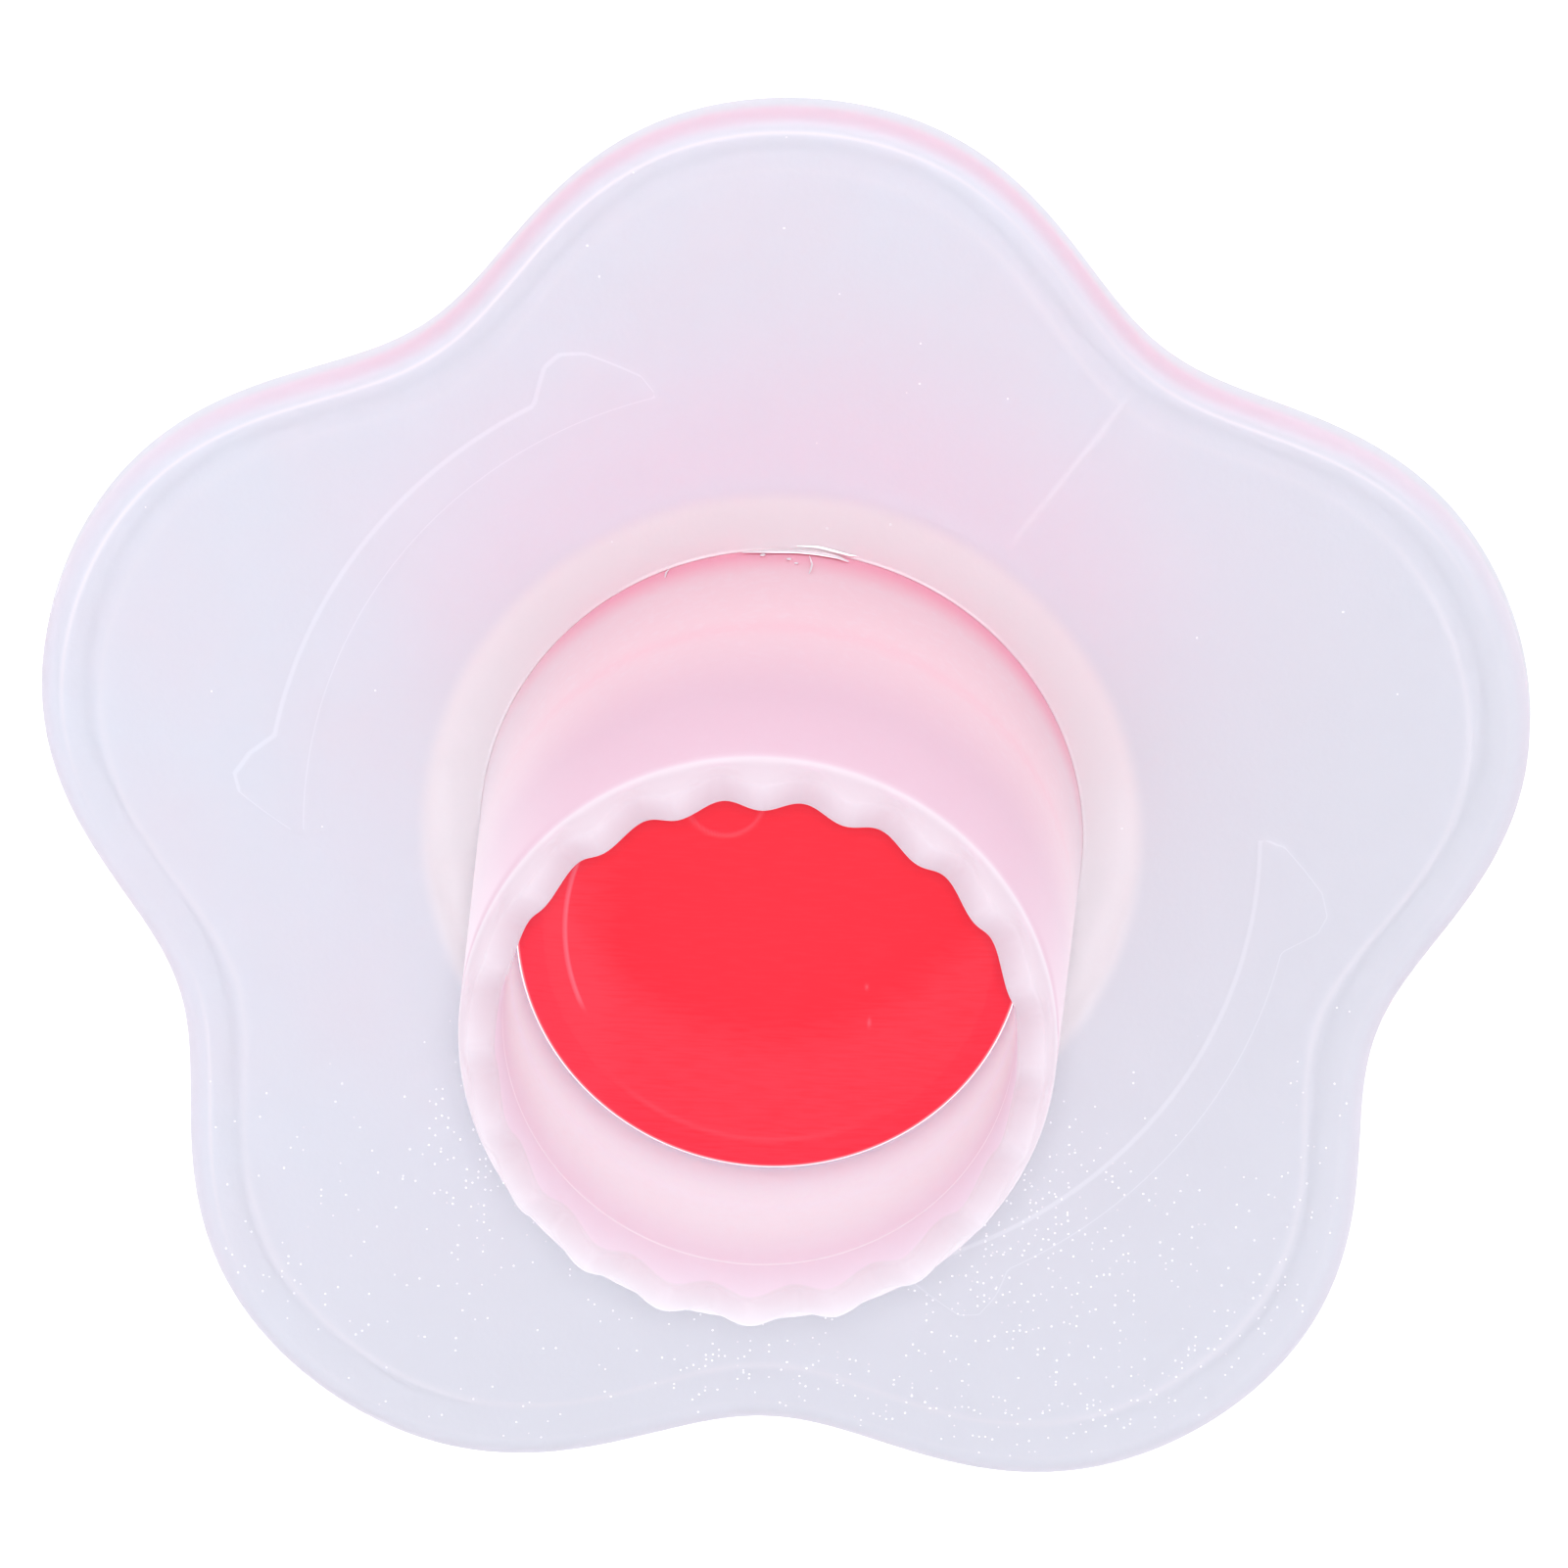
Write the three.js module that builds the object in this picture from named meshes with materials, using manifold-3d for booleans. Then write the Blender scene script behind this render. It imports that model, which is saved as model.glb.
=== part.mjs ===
// Cupcake corer: a five-petal hand plate carries a toothed cutter tube, and a
// push plunger inside the tube drives the cut core of cake out of the mouth.
// Millimetres, +Z up. The corer stands on its plunger knob with the mouth up,
// the tube's axis is the Z axis, and one petal points along +Y.

import * as THREE from 'three';
import { mergeVertices } from 'three/addons/utils/BufferGeometryUtils.js';
import Module from 'manifold-3d';

const wasm = await Module();
wasm.setup();

// Flower handle. Depths are measured back from its front face.
const PETALS = 5;
const PETAL_TIP_RADIUS = 36.4;
const PETAL_VALLEY_RADIUS = 30.1;
const PETAL_BLUNTING = 0.4;
const PLATE_THICKNESS = 1.5;
const RIM_LIP = 0.9;
const RIM_WALL = 2.1;
const RIM_ROUNDING = 0.85;
const RIM_FILLET = 0.4;
const RIM_EDGE_BREAK = 0.3;
const COLLAR_WALL = 2.2;
const COLLAR_DEPTH = 4.0;
const HOLE_EDGE_BREAK = 0.15;

// Cutter tube. Heights are measured forward from the handle's front face.
const TUBE_REACH = 29.8;
const TUBE_BASE_RADIUS = 14.35;
const TUBE_EDGE_RADIUS = 14.05;
const BEVEL_START = 27.4;
const BORE_MOUTH_RADIUS = 12.25;
const BORE_REAR_RADIUS = 12.05;
const RELIEF_LENGTH = 4.2;
const LAND_WIDTH = 1.35;
const LIP_ROUNDING = 0.2;
const TOOTH_COUNT = 20;
const TOOTH_DEPTH = 1.5;
const SEAT_WIDTH = 1.9;
const SEAT_THICKNESS = 1.4;
const GUIDE_THICKNESS = 2.0;
const LUG_WIDTH = 4.0;
const LUG_HEIGHT = 1.3;

// Piston and its hollow stem.
const PISTON_FACE_HEIGHT = 13.25;
const PISTON_HEIGHT = 3.4;
const PISTON_CROWN = 1.7;
const PISTON_SKIRT = 1.2;
const FACE_BEVEL_WIDTH = 1.3;
const FACE_BEVEL_DROP = 0.3;
const STEM_RADIUS = 8.5;
const STEM_WALL = 1.5;

// Push knob.
const KNOB_RADIUS = 16.5;
const KNOB_HEIGHT = 7.5;
const KNOB_FLAT_RADIUS = 10.5;
const KNOB_WALL = 1.8;
const KNOB_RIM_BAND = 2.2;
const SPIGOT_LENGTH = 8.0;
const SPIGOT_WALL = 1.4;

// Clearances between the pieces.
const SEAT_GAP = 0.3;
const TUBE_FIT = 0.3;
const LUG_FIT = 0.3;
const PISTON_FIT = 0.3;
const STEM_FIT = 0.3;
const SPIGOT_FIT = 0.3;
const STOP_GAP = 0.3;

// Facets round each piece.
const PETAL_STEPS = 20;
const TOOTH_STEPS = 8;
const PLUNGER_STEPS = 56;
const CURVE_STEPS = 4;

// The stroke that brings the piston face level with the tips of the teeth
// sets how far the knob stands behind the handle at rest.
const EJECT_STROKE = TUBE_REACH - PISTON_FACE_HEIGHT;
const SEAT_FRONT = -(COLLAR_DEPTH + SEAT_GAP);
const SEAT_REAR = SEAT_FRONT - SEAT_THICKNESS;
const GUIDE_FRONT = SEAT_REAR + GUIDE_THICKNESS;
const FRONT_FACE = KNOB_HEIGHT + STOP_GAP + EJECT_STROKE - SEAT_REAR;

const RIM_DEPTH = PLATE_THICKNESS + RIM_LIP;
const HOLE_RADIUS = TUBE_BASE_RADIUS + TUBE_FIT;
const COLLAR_RADIUS = HOLE_RADIUS + COLLAR_WALL;
const SEAT_RADIUS = TUBE_BASE_RADIUS + SEAT_WIDTH;
const GUIDE_RADIUS = STEM_RADIUS + STEM_FIT;
const PISTON_RADIUS = BORE_REAR_RADIUS - PISTON_FIT;
const STEM_BORE_RADIUS = STEM_RADIUS - STEM_WALL;
const SPIGOT_RADIUS = STEM_BORE_RADIUS - SPIGOT_FIT;

const frostedPolypropylene = new THREE.MeshStandardMaterial({
  color: 0xe7e6f2, roughness: 0.45, metalness: 0,
});
const palePinkPolypropylene = new THREE.MeshStandardMaterial({
  color: 0xf4d6e2, roughness: 0.45, metalness: 0,
});
const redPolypropylene = new THREE.MeshStandardMaterial({
  color: 0xfc3a49, roughness: 0.35, metalness: 0,
});

// Revolves a closed profile of [radius, z] stations about Z. The profile runs
// anticlockwise, with the axis on its left, so that the faces point outwards.
function revolve(stations, steps) {
  const points = stations.map(([radius, z]) => new THREE.Vector2(radius, z));
  const geometry = new THREE.LatheGeometry(points, steps);
  geometry.rotateX(Math.PI / 2);
  return geometry;
}

// Moves each point of a revolved profile to where place() puts it. place() is
// given the point, the number of its station and its angle about Z.
function reshape(geometry, stationCount, place) {
  const position = geometry.getAttribute('position');
  const point = new THREE.Vector3();
  for (let i = 0; i < position.count; i += 1) {
    point.fromBufferAttribute(position, i);
    const angle = Math.atan2(point.y, point.x);
    place(point, i % stationCount, angle);
    position.setXYZ(i, point.x, point.y, point.z);
  }
  return geometry;
}

function toSolid(geometry) {
  const bare = geometry.clone();
  bare.deleteAttribute('normal');
  bare.deleteAttribute('uv');
  const merged = mergeVertices(bare);
  return new wasm.Manifold(new wasm.Mesh({
    numProp: 3,
    vertProperties: merged.getAttribute('position').array,
    triVerts: Uint32Array.from(merged.getIndex().array),
  }));
}

function toGeometry(solid) {
  const mesh = solid.getMesh();
  const geometry = new THREE.BufferGeometry();
  geometry.setAttribute('position', new THREE.BufferAttribute(mesh.vertProperties, 3));
  geometry.setIndex(new THREE.BufferAttribute(mesh.triVerts, 1));
  geometry.computeVertexNormals();
  return geometry;
}

// The flower outline is a circle with one wave per petal. A small second wave
// blunts the tips and deepens the valleys.
const PETAL_WAVE = (PETAL_TIP_RADIUS - PETAL_VALLEY_RADIUS) / 2;
const PETAL_MEAN_RADIUS = (PETAL_TIP_RADIUS + PETAL_VALLEY_RADIUS) / 2 + PETAL_BLUNTING;

function outlinePoint(angle) {
  const turn = PETALS * (angle - Math.PI / 2);
  const radius = PETAL_MEAN_RADIUS + PETAL_WAVE * Math.cos(turn)
    - PETAL_BLUNTING * Math.cos(2 * turn);
  return new THREE.Vector2(radius * Math.cos(angle), radius * Math.sin(angle));
}

// The point that lies inset inside the outline, square to it.
function insetPoint(angle, inset) {
  const step = 1e-4;
  const tangent = outlinePoint(angle + step).sub(outlinePoint(angle - step)).normalize();
  const inward = new THREE.Vector2(-tangent.y, tangent.x);
  return outlinePoint(angle).addScaledVector(inward, inset);
}

// Rim section as [inset, z]: up the side, round the front edge; then inside,
// from the fillet under the plate down to the rear edge.
function rimOuterSection() {
  const path = new THREE.Path();
  path.moveTo(RIM_EDGE_BREAK, -RIM_DEPTH);
  path.lineTo(0, -RIM_DEPTH + RIM_EDGE_BREAK);
  path.lineTo(0, -RIM_ROUNDING);
  path.absarc(RIM_ROUNDING, -RIM_ROUNDING, RIM_ROUNDING, Math.PI, Math.PI / 2, true);
  return path.getPoints(CURVE_STEPS);
}

function rimInnerSection() {
  const path = new THREE.Path();
  const filletDepth = -PLATE_THICKNESS - RIM_FILLET;
  path.absarc(RIM_WALL + RIM_FILLET, filletDepth, RIM_FILLET, Math.PI / 2, Math.PI, false);
  path.lineTo(RIM_WALL, -RIM_DEPTH + RIM_EDGE_BREAK);
  path.lineTo(RIM_WALL - RIM_EDGE_BREAK, -RIM_DEPTH);
  return path.getPoints(CURVE_STEPS);
}

// Two lugs on the tube's seat keep it from turning in the handle.
function lugPair(width, bottom, top, innerRadius, outerRadius) {
  const length = outerRadius - innerRadius;
  const lug = new THREE.BoxGeometry(length, width, top - bottom);
  lug.translate((innerRadius + outerRadius) / 2, 0, (bottom + top) / 2);
  const opposite = lug.clone().rotateZ(Math.PI);
  return [toSolid(lug), toSolid(opposite)];
}

function flowerHandle() {
  const outer = rimOuterSection().map((p) => ({ inset: p.x, z: p.y }));
  const inner = rimInnerSection().map((p) => ({ inset: p.x, z: p.y }));
  const hub = [
    { radius: HOLE_RADIUS + HOLE_EDGE_BREAK, z: 0 },
    { radius: HOLE_RADIUS, z: -HOLE_EDGE_BREAK },
    { radius: HOLE_RADIUS, z: -COLLAR_DEPTH },
    { radius: COLLAR_RADIUS, z: -COLLAR_DEPTH },
    { radius: COLLAR_RADIUS, z: -PLATE_THICKNESS },
  ];
  const stations = [...outer, ...hub, ...inner, outer[0]];
  const nominal = stations.map((s) => [s.radius ?? PETAL_MEAN_RADIUS - s.inset, s.z]);
  const plate = reshape(revolve(nominal, PETALS * PETAL_STEPS), stations.length, (point, i, angle) => {
    if (stations[i].inset === undefined) return;
    const moved = insetPoint(angle, stations[i].inset);
    point.set(moved.x, moved.y, point.z);
  });
  const notches = lugPair(
    LUG_WIDTH + 2 * LUG_FIT,
    -COLLAR_DEPTH - SEAT_GAP,
    SEAT_FRONT + LUG_HEIGHT + LUG_FIT,
    TUBE_BASE_RADIUS,
    COLLAR_RADIUS + LUG_FIT,
  );
  const solid = notches.reduce((body, notch) => body.subtract(notch), toSolid(plate));
  return toGeometry(solid);
}

// Tube section as [radius, z, wave]. The wave is 1 where the teeth carry the
// station up and down, and 0 below them.
function tubeSection() {
  const landOuter = BORE_MOUTH_RADIUS + LAND_WIDTH;
  return [
    [SEAT_RADIUS, SEAT_REAR, 0],
    [SEAT_RADIUS, SEAT_FRONT, 0],
    [TUBE_BASE_RADIUS, SEAT_FRONT, 0],
    [TUBE_BASE_RADIUS, 0, 0],
    [TUBE_EDGE_RADIUS, BEVEL_START, 0],
    [landOuter, TUBE_REACH - LIP_ROUNDING, 1],
    [landOuter - LIP_ROUNDING, TUBE_REACH, 1],
    [BORE_MOUTH_RADIUS + LIP_ROUNDING, TUBE_REACH, 1],
    [BORE_MOUTH_RADIUS, TUBE_REACH - LIP_ROUNDING, 1],
    [BORE_REAR_RADIUS, TUBE_REACH - RELIEF_LENGTH, 0],
    [BORE_REAR_RADIUS, GUIDE_FRONT, 0],
    [GUIDE_RADIUS, GUIDE_FRONT, 0],
    [GUIDE_RADIUS, SEAT_REAR, 0],
    [SEAT_RADIUS, SEAT_REAR, 0],
  ];
}

function cutterTube() {
  const section = tubeSection();
  const tube = reshape(revolve(section, TOOTH_COUNT * TOOTH_STEPS), section.length, (point, i, angle) => {
    const tooth = (1 - Math.cos(TOOTH_COUNT * (angle - Math.PI / 2))) / 2;
    point.z -= section[i][2] * TOOTH_DEPTH * tooth;
  });
  const lugs = lugPair(
    LUG_WIDTH,
    SEAT_FRONT - SEAT_THICKNESS / 2,
    SEAT_FRONT + LUG_HEIGHT,
    BORE_REAR_RADIUS + SEAT_WIDTH / 2,
    SEAT_RADIUS - LUG_FIT,
  );
  const solid = lugs.reduce((body, lug) => body.add(lug), toSolid(tube));
  return toGeometry(solid);
}

function piston() {
  const face = FRONT_FACE + PISTON_FACE_HEIGHT;
  const skirtInside = PISTON_RADIUS - PISTON_SKIRT;
  const stemEnd = KNOB_WALL + SEAT_GAP;
  return revolve([
    [0, face - PISTON_CROWN],
    [STEM_BORE_RADIUS, face - PISTON_CROWN],
    [STEM_BORE_RADIUS, stemEnd],
    [STEM_RADIUS, stemEnd],
    [STEM_RADIUS, face - PISTON_CROWN],
    [skirtInside, face - PISTON_CROWN],
    [skirtInside, face - PISTON_HEIGHT],
    [PISTON_RADIUS, face - PISTON_HEIGHT],
    [PISTON_RADIUS, face - 2 * FACE_BEVEL_DROP],
    [PISTON_RADIUS - FACE_BEVEL_DROP, face - FACE_BEVEL_DROP],
    [PISTON_RADIUS - FACE_BEVEL_WIDTH, face],
    [0, face],
  ], PLUNGER_STEPS);
}

function pushKnob() {
  const rimInside = KNOB_RADIUS - KNOB_WALL;
  const flatInside = KNOB_FLAT_RADIUS;
  const bandStart = KNOB_HEIGHT - KNOB_RIM_BAND;
  const spigotTop = KNOB_WALL + SPIGOT_LENGTH;
  const edge = KNOB_WALL / 4;
  const path = new THREE.Path();
  path.moveTo(0, 0);
  path.lineTo(KNOB_FLAT_RADIUS, 0);
  path.quadraticCurveTo(KNOB_RADIUS, 0, KNOB_RADIUS, bandStart);
  path.lineTo(KNOB_RADIUS, KNOB_HEIGHT - edge);
  path.lineTo(KNOB_RADIUS - edge, KNOB_HEIGHT);
  path.lineTo(rimInside + edge, KNOB_HEIGHT);
  path.lineTo(rimInside, KNOB_HEIGHT - edge);
  path.lineTo(rimInside, bandStart);
  path.quadraticCurveTo(rimInside, KNOB_WALL, flatInside, KNOB_WALL);
  path.lineTo(SPIGOT_RADIUS, KNOB_WALL);
  path.lineTo(SPIGOT_RADIUS, spigotTop - edge);
  path.lineTo(SPIGOT_RADIUS - edge, spigotTop);
  path.lineTo(SPIGOT_RADIUS - SPIGOT_WALL, spigotTop);
  path.lineTo(SPIGOT_RADIUS - SPIGOT_WALL, KNOB_WALL);
  path.lineTo(0, KNOB_WALL);
  const stations = path.getPoints(CURVE_STEPS).map((p) => [p.x, p.y]);
  return revolve(stations, PLUNGER_STEPS);
}

function part(name, geometry, material, height = 0) {
  const mesh = new THREE.Mesh(geometry, material);
  mesh.name = name;
  mesh.position.z = height;
  return mesh;
}

const corer = new THREE.Group();
corer.add(
  part('flower_handle', flowerHandle(), frostedPolypropylene, FRONT_FACE),
  part('cutter_tube', cutterTube(), palePinkPolypropylene, FRONT_FACE),
  part('piston', piston(), redPolypropylene),
  part('push_knob', pushKnob(), redPolypropylene),
);

export default corer;
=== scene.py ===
"""Cupcake corer: the surfaces, plastics and studio of a flower-handled corer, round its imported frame."""

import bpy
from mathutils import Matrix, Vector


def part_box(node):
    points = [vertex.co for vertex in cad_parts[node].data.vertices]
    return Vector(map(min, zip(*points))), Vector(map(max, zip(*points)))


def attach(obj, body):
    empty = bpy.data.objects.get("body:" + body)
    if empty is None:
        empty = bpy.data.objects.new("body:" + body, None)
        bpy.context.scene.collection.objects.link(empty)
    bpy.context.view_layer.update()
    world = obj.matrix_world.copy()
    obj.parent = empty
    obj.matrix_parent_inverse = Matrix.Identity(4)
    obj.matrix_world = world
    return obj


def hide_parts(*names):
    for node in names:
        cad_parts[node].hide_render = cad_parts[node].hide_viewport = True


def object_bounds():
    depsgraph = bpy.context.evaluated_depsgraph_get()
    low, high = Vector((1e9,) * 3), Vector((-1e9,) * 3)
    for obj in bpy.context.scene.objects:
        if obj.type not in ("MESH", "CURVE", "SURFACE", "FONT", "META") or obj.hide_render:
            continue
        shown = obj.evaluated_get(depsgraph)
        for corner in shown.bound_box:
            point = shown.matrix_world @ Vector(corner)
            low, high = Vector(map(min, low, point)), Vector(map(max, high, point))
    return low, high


bl_info = {
    "name": "Cupcake corer",
    "version": (1, 0, 0),
    "blender": (4, 5, 0),
    "location": "3D View > Sidebar > Corer",
    "description": "Builds the surfaces and plastics of a cupcake corer and a studio to show it in",
    "category": "Add Mesh",
}

import bmesh
import bpy
import numpy as np
from bpy.props import FloatProperty, FloatVectorProperty, IntProperty, PointerProperty
from bpy.types import Operator, Panel, PropertyGroup
from mathutils import Matrix, Vector

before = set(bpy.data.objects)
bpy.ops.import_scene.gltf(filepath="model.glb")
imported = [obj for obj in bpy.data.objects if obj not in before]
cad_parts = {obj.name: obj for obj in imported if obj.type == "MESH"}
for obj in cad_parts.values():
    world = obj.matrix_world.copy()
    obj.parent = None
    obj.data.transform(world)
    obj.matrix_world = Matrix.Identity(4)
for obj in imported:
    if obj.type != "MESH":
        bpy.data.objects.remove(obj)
CAD_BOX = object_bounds()
HANDLE_LOW, HANDLE_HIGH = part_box("flower_handle")
TUBE_LOW, TUBE_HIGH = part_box("cutter_tube")
PISTON_LOW, PISTON_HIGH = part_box("piston")
_, KNOB_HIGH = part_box("push_knob")

MM = 0.001
FULL_TURN = 2 * np.pi
POLYPROPYLENE_IOR = 1.49
POLE_GAP = 1e-7


def linear(hex_colour):
    """An sRGB hex colour as linear red, green and blue."""
    channels = np.array([int(hex_colour[i : i + 2], 16) for i in (1, 3, 5)]) / 255
    return tuple(np.where(channels <= 0.04045, channels / 12.92, ((channels + 0.055) / 1.055) ** 2.4))


def length(label, words, default):
    """A size in metres."""
    return FloatProperty(name=label, description=words, default=default, unit="LENGTH", precision=5)


def colour(label, words, hex_colour):
    """A plastic's colour."""
    return FloatVectorProperty(
        name=label, description=words, default=linear(hex_colour), subtype="COLOR", min=0, max=1
    )


def power(label, words, default):
    """A lamp's power in watts."""
    return FloatProperty(name=label, description=words, default=default, unit="POWER", min=0)


class CorerHandleSettings(PropertyGroup):
    """Sizes of the petal plate; depths are measured back from its front face."""

    front: length("Front face", "Height of the plate's front face", HANDLE_HIGH.z)
    petals: IntProperty(name="Petals", description="Petals round the plate", default=5, min=3)
    petal_tip: length("Petal tip", "Radius at a petal's tip", HANDLE_HIGH.y)
    petal_valley: length("Petal valley", "Radius between two petals", 30.1 * MM)
    blunting: length("Petal blunting", "How far the second wave blunts the tips", 0.4 * MM)
    thickness: length("Plate thickness", "Wall of the plate", 1.5 * MM)
    rim_depth: length("Rim depth", "How far back the rim reaches", 2.4 * MM)
    rim_wall: length("Rim wall", "Wall of the rim", 2.1 * MM)
    rim_rounding: length("Rim rounding", "Radius of the rim's front edge", 0.85 * MM)
    rim_fillet: length("Rim fillet", "Radius inside the rim, under the plate", 0.4 * MM)
    hole: length("Hole", "Radius of the hole, which bites slightly into the tube that it grips", 14.34 * MM)
    collar: length("Collar", "Outside radius of the collar round the hole", 16.85 * MM)
    collar_depth: length("Collar depth", "How far back the collar reaches", HANDLE_HIGH.z - HANDLE_LOW.z)
    notch_width: length("Notch width", "Width of the two notches in the collar", 4.6 * MM)
    notch_height: length("Notch height", "Height of the two notches in the collar", 1.3 * MM)
    arrow_relief: length("Arrow relief", "How far the twist arrows stand proud", 0.06 * MM)
    bead: length("Flash bead", "Height of the hairline of flash round the hole", 0.04 * MM)


class CorerTubeSettings(PropertyGroup):
    """Sizes of the cutter tube; heights are measured forward from the plate's front face."""

    reach: length("Reach", "Height of the tooth tips above the plate", TUBE_HIGH.z - HANDLE_HIGH.z)
    base: length("Base radius", "Outside radius at the plate", 14.35 * MM)
    edge: length("Edge radius", "Outside radius where the bevel starts", 14.05 * MM)
    bevel_start: length("Bevel start", "Height where the bevel starts", 27.4 * MM)
    land: length("Land radius", "Outside radius of the flat land on the teeth", 13.6 * MM)
    bore_mouth: length("Mouth bore", "Bore radius at the teeth", 12.25 * MM)
    bore: length("Bore", "Bore radius behind the relief", 12.05 * MM)
    relief: length("Relief", "Length of the slight flare behind the teeth", 4.2 * MM)
    lip: length("Lip rounding", "Edge radius of the land", 0.2 * MM)
    teeth: IntProperty(name="Teeth", description="Teeth round the mouth", default=20, min=4)
    tooth_depth: length("Tooth depth", "Height from notch to tip", 1.5 * MM)
    seat: length("Seat radius", "Outside radius of the seat behind the collar", TUBE_HIGH.x)
    seat_front: length("Seat front", "Depth of the seat's front face", 4.3 * MM)
    seat_rear: length("Seat rear", "Depth of the seat's rear face", HANDLE_HIGH.z - TUBE_LOW.z)
    guide: length("Guide hole", "Radius of the hole that the stem runs in", 8.8 * MM)
    guide_thickness: length("Guide thickness", "Thickness of the guide ring", 2.0 * MM)
    lug_width: length("Lug width", "Width of the two lugs on the seat", 4.0 * MM)
    lug_height: length("Lug height", "Height of the two lugs on the seat", 1.3 * MM)


class CorerPlungerSettings(PropertyGroup):
    """Sizes of the piston, its stem and the push knob."""

    face: length("Piston face", "Height of the piston's face", PISTON_HIGH.z)
    radius: length("Piston radius", "Outside radius of the wiper lip, which rubs on the bore", 12.045 * MM)
    height: length("Piston height", "Height of the piston's lip", 3.4 * MM)
    crown: length("Piston crown", "Thickness of the piston's face", 1.7 * MM)
    skirt: length("Piston skirt", "Wall of the piston's lip", 1.2 * MM)
    bevel: length("Face bevel", "Width of the bevel round the face", 1.3 * MM)
    bevel_drop: length("Bevel drop", "Height of the bevel round the face", 0.3 * MM)
    stem: length("Stem radius", "Outside radius of the stem", 8.5 * MM)
    stem_wall: length("Stem wall", "Wall of the hollow stem", 1.5 * MM)
    stem_end: length("Stem end", "Height of the stem's rear end", PISTON_LOW.z)
    knob: length("Knob radius", "Outside radius of the knob", KNOB_HIGH.x)
    knob_height: length("Knob height", "Height of the knob's rim", 7.5 * MM)
    knob_flat: length("Knob flat", "Radius of the knob's flat end", 10.5 * MM)
    knob_wall: length("Knob wall", "Wall of the knob", 1.8 * MM)
    knob_band: length("Knob band", "Height of the knob's straight rim", 2.2 * MM)
    spigot: length("Spigot radius", "Radius of the spigot in the stem", 6.7 * MM)
    spigot_wall: length("Spigot wall", "Wall of the spigot", 1.4 * MM)
    spigot_top: length("Spigot top", "Height of the spigot's end", KNOB_HIGH.z)


class CorerPlasticSettings(PropertyGroup):
    """Colours of the plastics, and of light and shade painted on them."""

    frosted: colour("Frosted", "Natural polypropylene of the petal plate", "#E4E6EB")
    cloud: colour("Cloud", "Faint warmer clouds in the petal plate", "#E6E4E9")
    pale: colour("Pale", "Denser plate in front of the collar, and edges that catch the light", "#F6F1F2")
    # Painted glow: pink painted on the rim's side wall.
    rim_blush: colour("Rim blush", "Glow of the plate's rim, on its side wall", "#EBD3DE")
    tube: colour("Tube", "Tinted polypropylene of the cutter tube", "#E8BFC5")
    # Painted light and shade: the tube darkens towards its mouth; inside it is paler near the piston and
    # pinker near the teeth.
    tube_mouth: colour("Tube mouth", "The same plastic towards the mouth, where light leaves it", "#CCABB7")
    tube_bore: colour("Tube bore", "Paler tint inside the tube, near the piston", "#E9FAFF")
    bore_mouth: colour("Bore mouth", "Pinker tint inside the tube, near the teeth", "#D3B9C7")
    # Painted glow: a deeper pink painted where the tube enters the plate.
    tube_root: colour("Tube root", "Deeper tint where the tube enters the plate", "#EE9CAE")
    # Painted shade: the plate is darker towards the lower right.
    shade: colour("Shade", "Plate on the lower right, where less light is led through it", "#E1E2E6")
    # Painted glow: pink painted on the plate above the tube.
    warm: colour("Warm", "Plate above the tube, warmed by light from the red knob behind it", "#EEE6EF")
    # Painted glow: colour of the light the bore emits beside the piston.
    cool: colour("Cool", "Light that the wall leads to the bore beside the piston", "#00C8FF")
    # Painted sheen: a lighter red painted near the piston's edge.
    haze: colour("Haze", "Rubbed zone near the piston's edge", "#FF384A")
    land: colour("Land", "Paler tint of the cut teeth", "#C3B2B8")
    # Scratches, and painted highlights in arcs near the piston's edge.
    scuff: colour("Scuff", "Light marks scratched into the piston's face", "#FF8794")
    red: colour("Red", "Pigmented polypropylene of the plunger", "#FF1731")


class CorerStageSettings(PropertyGroup):
    """The studio."""

    sky: colour("Sky", "Colour of the white tent light", "#F3F4FF")
    front: power("Front light", "Power of the soft light at the camera", 9.5)
    top: power("Top light", "Power of the low soft light above the picture", 0.1)
    floor: colour("Floor", "Colour of the pale floor", "#D8D8D8")


def arc(u, z, radius, start, end, count):
    """Points on a circle about (u, z), from one angle in degrees to another, as rows of u and z."""
    angle = np.radians(np.linspace(start, end, count))
    return np.stack([u + radius * np.cos(angle), z + radius * np.sin(angle)], 1)


def straight(start, end, count):
    """Evenly spaced points on a straight line, as rows of u and z."""
    return np.linspace(start, end, count)


def bend(start, corner, end, count):
    """A quadratic curve from start to end, drawn towards the corner, as rows of u and z."""
    t = np.linspace(0, 1, count)[:, None]
    return (1 - t) ** 2 * np.array(start) + 2 * t * (1 - t) * np.array(corner) + t**2 * np.array(end)


def rise(x, start, end):
    """A smooth rise from 0 at start to 1 at end, 3 t squared less 2 t cubed; it falls if end < start."""
    t = np.clip((x - start) / (end - start), 0, 1)
    return t * t * (3 - 2 * t)


def bell(x, centre, width):
    """1 at the centre, falling to both sides as e to the minus square of the distance in widths."""
    return np.exp(-(((x - centre) / width) ** 2))


def slot_share(angle, radius, width):
    """1 across two slots at plus and minus X on a circle and 0 beside them, with ends 0.25 mm long."""
    across, half_end = np.abs(np.sin(angle)) * radius, 0.125 * MM
    return rise(across, width / 2 + half_end, width / 2 - half_end)


def even_angles(count):
    """Angles round a full turn, starting at +X."""
    return np.linspace(0, FULL_TURN, count, endpoint=False)


def angle_from(angle, centre):
    """The turn from a centre angle to each angle, between minus and plus half a turn, in radians."""
    return (angle - centre + np.pi) % FULL_TURN - np.pi


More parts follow.
